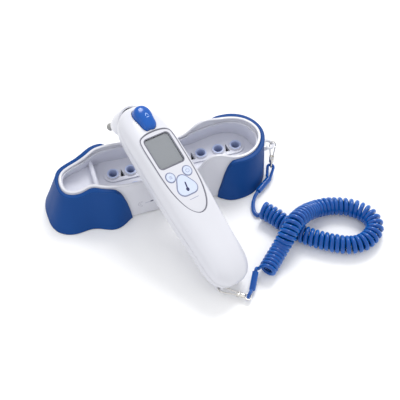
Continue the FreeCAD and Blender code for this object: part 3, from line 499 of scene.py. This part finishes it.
def capsule(start, end, start_r, end_r, count=22):
    """Points and radii of a round-ended stroke whose width changes along it."""
    start = np.array(start, float)
    end = np.array(end, float)
    length = np.linalg.norm(end - start)
    total = length + start_r + end_r
    places, radii = [], []
    for index in range(count):
        along = total * 0.5 * (1.0 - math.cos(math.pi * index / (count - 1)))
        place = start + (end - start) / length * (along - start_r)
        bulb = math.sqrt(max(start_r ** 2 - (along - start_r) ** 2, 0.0))
        from_end = total - along
        taper = math.sqrt(max(end_r ** 2 - max(end_r - from_end, 0.0) ** 2, 0.0))
        shaft = taper if along > start_r else 0.0
        places.append(place)
        radii.append(max(bulb, shaft, 0.01 * MM))
    return places, radii


def arc(centre, radius, start, end, count=24):
    angles = np.radians(np.linspace(start, end, count))
    return [np.array(centre) + radius * np.array([math.cos(a), math.sin(a)]) for a in angles]


def face_stroke(name, node, flat_points, radii, material, body, height=0.14 * MM):
    """A stroke drawn in the handset's own (across, along) metres and laid on a node."""
    surface = surface_of(node)
    above = middle_of(node)[2] + 20.0 * MM
    starts = [np.array(ACROSS) * point[0] + np.array(ALONG) * point[1] + np.array(OUT) * above
              for point in flat_points]
    if np.isscalar(radii):
        radii = [radii * min(1.0, 0.35 + 0.65 * index) for index in range(len(starts))]
        radii = np.minimum(radii, radii[::-1])
    make_stroke(name, surface, starts, -OUT, radii, height, material, body)


def make_key_marks():
    centre = middle_of("measure_key")[:2]
    places, radii = capsule(centre + np.array([-0.5, -4.3]) * MM, centre + np.array([0.7, 1.6]) * MM,
                            1.75 * MM, 0.75 * MM)
    face_stroke("mark_thermometer", "measure_key", places, radii, INKS["ink_navy"], "key_measure", 0.2 * MM)
    centre = middle_of("memory_key")[:2]
    for number, offset in enumerate((-0.95, 0.0, 0.95)):
        line = [centre + np.array([x, offset]) * MM for x in np.linspace(-1.5, 1.5, 8)]
        face_stroke("mark_list_%d" % number, "memory_key", line, THIN_STROKE, INKS["line_soft"], "key_memory")
    centre = middle_of("mode_key")[:2]
    ring = arc(centre, 1.7 * MM, 120.0, 420.0)
    face_stroke("mark_ring", "mode_key", ring, THIN_STROKE, INKS["line_soft"], "key_mode")
    hand = [centre + np.array([0.0, y]) * MM for y in np.linspace(0.0, 2.3, 8)]
    face_stroke("mark_hand", "mode_key", hand, THIN_STROKE, INKS["line_soft"], "key_mode")


def make_button_mark():
    """A small generic release mark: a bar under a wedge."""
    centre = middle_of("eject_button")[:2] + np.array([0.6, 1.0]) * MM
    bar = [centre + np.array([x, -2.2]) * MM for x in np.linspace(-1.6, 1.6, 8)]
    face_stroke("mark_release_bar", "eject_button", bar, BUTTON_STROKE, INKS["ink_pale"], "button")
    for name, side in (("left", -1.0), ("right", 1.0)):
        edge = [centre + np.array([side * 1.6 * (1.0 - share), -1.0 + 2.6 * share]) * MM
                for share in np.linspace(0.0, 1.0, 9)]
        face_stroke("mark_release_" + name, "eject_button", edge, BUTTON_STROKE,
                    INKS["ink_pale"], "button")


def make_panel_rule():
    """A plain printed rule below the keys."""
    centre = middle_of("measure_key")[:2]
    rule = [centre + np.array([x, -13.0]) * MM for x in np.linspace(-4.2, 5.6, 14)]
    face_stroke("mark_rule", "panel_overlay", rule, 0.35 * MM, INKS["line_soft"], "handset", 0.1 * MM)


def make_wall_mark():
    """A small pictogram on the cradle's front wall: an ear and a probe coming to it."""
    surface = surface_of("cradle_shell")

    def lay_stroke(name, points, radius, material):
        starts = [(WALL_MARK_X + x * MM, -90.0 * MM, WALL_MARK_Z + z * MM) for x, z in points]
        radii = np.full(len(starts), radius)
        radii[0] = radii[-1] = radius * 0.4
        make_stroke(name, surface, starts, (0.0, 1.0, 0.0), radii, 0.12 * MM, material, "cradle")

    outer = arc((-4.5, 0.4), 2.4, 300.0, 30.0)
    lobe = [(-3.3, -1.7), (-3.5, -2.6), (-4.2, -3.0), (-4.7, -2.5)]
    inner = arc((-4.3, 0.6), 1.2, 290.0, 60.0)
    lay_stroke("mark_ear", outer, 0.22 * MM, INKS["ink_light"])
    lay_stroke("mark_ear_lobe", lobe, 0.22 * MM, INKS["ink_light"])
    lay_stroke("mark_ear_inner", inner, 0.2 * MM, INKS["ink_light"])
    lay_stroke("mark_probe", [(x, 0.2 + 0.12 * x) for x in np.linspace(-0.8, 4.2, 12)], 0.28 * MM,
               INKS["line_soft"])
    lay_stroke("mark_handset", [(x, 0.2 + 0.12 * x) for x in np.linspace(3.8, 6.6, 10)], 0.9 * MM,
               INKS["ink_navy"])


make_key_marks()
make_button_mark()
make_panel_rule()
make_wall_mark()


# ---- the coiled cord -------------------------------------------------------------------------
CORD_R = 1.92 * MM
LEAD_R = 1.5 * MM
COIL_R = 8.0 * MM
# Centre line of the coiled run, in millimetres: the CAD tube that it stands for bends here.
COIL_LINE = [
    (80.0, -60.5, 8.4), (88.2, -70.6, 8.2), (94.4, -81.2, 8.0), (102.9, -92.4, 8.0), (113.7, -102.0, 8.0),
    (127.4, -110.9, 8.0), (140.4, -116.5, 8.0), (153.4, -115.7, 8.0), (164.8, -106.9, 8.0),
    (166.0, -95.3, 8.0), (159.5, -85.2, 8.0), (149.4, -78.2, 8.0), (136.3, -73.9, 8.2),
    (120.9, -75.2, 10.9), (107.3, -83.3, 19.4), (96.5, -91.6, 23.2), (88.4, -98.6, 19.0),
    (81.0, -104.0, 11.4), (72.2, -111.5, 8.2), (63.5, -119.9, 8.0),
]
# Pitch of the turns in millimetres, at shares of the way along: even, open round the bend, tight on top.
PITCH = [(0.0, 4.3), (0.35, 4.4), (0.45, 4.6), (0.58, 4.6), (0.70, 3.8), (0.85, 3.7), (1.0, 3.9)]


def smooth_run(points, count):
    """A smooth line through points, evenly spaced: a centripetal spline."""
    points = np.array(points, float)
    points = np.vstack([2 * points[0] - points[1], points, 2 * points[-1] - points[-2]])
    line = []
    for a, b, c, d in zip(points, points[1:], points[2:], points[3:]):
        knots = [0.0]
        for first, second in ((a, b), (b, c), (c, d)):
            knots.append(knots[-1] + math.sqrt(np.linalg.norm(second - first)))
        for share in np.linspace(0.0, 1.0, 24, endpoint=False):
            at = knots[1] + (knots[2] - knots[1]) * share
            ab = (a * (knots[1] - at) + b * (at - knots[0])) / (knots[1] - knots[0])
            bc = (b * (knots[2] - at) + c * (at - knots[1])) / (knots[2] - knots[1])
            cd = (c * (knots[3] - at) + d * (at - knots[2])) / (knots[3] - knots[2])
            abc = (ab * (knots[2] - at) + bc * (at - knots[0])) / (knots[2] - knots[0])
            bcd = (bc * (knots[3] - at) + cd * (at - knots[1])) / (knots[3] - knots[1])
            line.append((abc * (knots[2] - at) + bcd * (at - knots[1])) / (knots[2] - knots[1]))
    line.append(points[-2])
    line = np.array(line)
    runs = np.concatenate([[0.0], np.cumsum(np.linalg.norm(np.diff(line, axis=0), axis=1))])
    places = np.linspace(0.0, runs[-1], count)
    return np.stack([np.interp(places, runs, line[:, axis]) for axis in range(3)], axis=1), runs[-1]


def carried_frames(line, first_side):
    """Side directions carried along a line without twist."""
    run = unit(np.gradient(line, axis=0))
    side = np.array(first_side, float)
    sides = []
    for direction in run:
        side = side - direction * side.dot(direction)
        side = side / np.linalg.norm(side)
        sides.append(side)
    sides = np.array(sides)
    return run, sides, np.cross(run, sides)


def make_tube(name, line, radii, material, around=10):
    """A round cord swept along a line, closed at both ends."""
    first_side = np.cross(line[1] - line[0], (0.31, 0.17, 0.93))
    _, side, other = carried_frames(line, first_side)
    radii = np.broadcast_to(radii, len(line))[:, None]
    rows = []
    for step in range(around):
        angle = 2.0 * math.pi * step / around
        rows.append(line + (side * math.cos(angle) + other * math.sin(angle)) * radii)
    points = np.stack(rows, axis=1).reshape(-1, 3)
    faces = grid_faces(len(line), around, False)
    last = (len(line) - 1) * around
    faces.append(tuple(range(around))[::-1])
    faces.append(tuple(last + step for step in range(around)))
    return make_piece(name, points, faces, material)


def end_of(node, near):
    """Centre of the flat end of a crimp sleeve nearest to a point, and the way out of it."""
    corners = triangles_of(node)[0]
    middle = (corners.min(axis=0) + corners.max(axis=0)) / 2.0
    spread = corners - corners.mean(axis=0)
    axis = np.linalg.svd(spread, full_matrices=False)[2][0]
    if axis.dot(np.array(near) - middle) < 0:
        axis = -axis
    reach = ((corners - middle) @ axis).max()
    return middle + axis * reach, axis


def bow(start, lead, follow, end, count=9):
    """A run of points bowed between two ends, by two guide points."""
    share = np.linspace(0.0, 1.0, count)[:, None]
    rest = 1.0 - share
    return (start * rest ** 3 + lead * 3 * rest ** 2 * share + follow * 3 * rest * share ** 2
            + end * share ** 3)


def make_coil():
    """The whole cord from one crimp sleeve to the other: a lead, the turns, and a lead."""
    count = 6000
    centre, length = smooth_run(COIL_LINE, count)
    _, side, other = carried_frames(centre, (0.0, 0.0, 1.0))
    shares = np.linspace(0.0, 1.0, count)
    pitch = np.interp(shares, [row[0] for row in PITCH], [row[1] for row in PITCH])
    turns = np.cumsum(length / count / pitch)
    angle = 2.0 * math.pi * turns + math.pi
    wobble = 1.0 + 0.012 * np.sin(turns * 2.4) + 0.010 * np.sin(turns * 0.83 + 1.0)
    reach = (COIL_R / MM - CORD_R / MM) * wobble
    helix = centre + side * (reach * np.cos(angle))[:, None] + other * (reach * np.sin(angle))[:, None]
    helix = helix * MM
    helix[:, 2] = np.maximum(helix[:, 2], CORD_R)
    start, start_way = end_of("sleeve_cradle", helix[0])
    end, end_way = end_of("sleeve_handset", helix[-1])
    into_start = unit(helix[0] - helix[6])
    into_end = unit(helix[-1] - helix[-7])
    lead_in = bow(start, start + start_way * 14.0 * MM, helix[0] + into_start * 11.0 * MM, helix[0])
    lead_out = bow(helix[-1], helix[-1] + into_end * 7.0 * MM, end + end_way * 6.0 * MM, end)
    turns_run = helix[:: max(1, int(count / (turns[-1] * 20)))]
    line, _ = smooth_run(np.vstack([lead_in[:-1], turns_run, lead_out[1:]]), int(turns[-1] * 24))
    from_ends = np.minimum(np.linalg.norm(line - start, axis=1), np.linalg.norm(line - end, axis=1))
    radii = np.interp(from_ends, (8.0 * MM, 20.0 * MM), (LEAD_R, CORD_R))
    line[:, 2] = np.maximum(line[:, 2], CORD_R)
    cord = make_tube("coiled_cord", line, radii, FINISHES["blue_cord"])
    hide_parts("coil_tether")
    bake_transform(cord)


make_coil()


# ---- the eject sleeve's spring ---------------------------------------------------------------
def make_ejector_spring():
    """The sleeve's return spring, rebuilt from the CAD spring's triangles and carried with the handset."""
    corners, triangles = triangles_of("sleeve_spring")
    spring = make_piece("ejector_spring", corners, triangles.tolist(), FINISHES["steel"], "handset")
    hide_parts("sleeve_spring")
    front = corners[(corners @ np.array(PROBE)).argmax()]
    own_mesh(spring)


make_ejector_spring()


# ---- floor, lights and camera ----------------------------------------------------------------
def make_floor():
    size = 4.0
    corners = [(-size, -size, 0.0), (size, -size, 0.0), (size, size, 0.0), (-size, size, 0.0)]
    floor = make_piece("floor", corners, [(0, 1, 2, 3)], moulded("floor", (0.90, 0.90, 0.91), 0.7, 0.0, 0.01))


def make_light(name, place, target, size, power, colour):
    lamp = bpy.data.lights.new(name, "AREA")
    lamp.shape = "DISK"
    lamp.size = size
    lamp.energy = power
    lamp.color = colour
    light = bpy.data.objects.new(name, lamp)
    light.location = place
    light.rotation_mode = "QUATERNION"
    light.rotation_quaternion = (Vector(target) - Vector(place)).to_track_quat("-Z", "Y")
    bpy.context.scene.collection.objects.link(light)


def make_world():
    world = bpy.data.worlds.new("studio")
    world.use_nodes = True
    back = world.node_tree.nodes["Background"]
    back.inputs["Color"].default_value = (0.99, 0.995, 1.0, 1.0)
    back.inputs["Strength"].default_value = 1.02
    bpy.context.scene.world = world


def make_camera():
    target = Vector((29.45, -43.45, 20.0)) * MM
    azimuth = math.radians(-16.89)
    elevation = math.radians(54.0)
    back = Vector((math.sin(azimuth) * math.cos(elevation), -math.cos(azimuth) * math.cos(elevation),
                   math.sin(elevation)))
    lens = bpy.data.cameras.new("camera")
    lens.sensor_width = 36.0
    lens.lens = 90.0
    camera = bpy.data.objects.new("camera", lens)
    camera.location = target + back * 850.34 * MM
    camera.rotation_mode = "QUATERNION"
    camera.rotation_quaternion = (-back).to_track_quat("-Z", "Y")
    lens.clip_start = 0.01
    lens.clip_end = 50.0
    bpy.context.scene.collection.objects.link(camera)
    bpy.context.scene.camera = camera


make_floor()
make_world()
make_light("key", (0.42, 0.50, 0.85), (0.03, -0.04, 0.0), 0.45, 6.2, (1.0, 0.995, 0.985))
make_light("fill", (-0.60, -0.70, 0.60), (0.0, -0.02, 0.02), 0.9, 1.2, (0.97, 0.98, 1.0))
make_camera()
bpy.context.scene.view_settings.view_transform = "Standard"
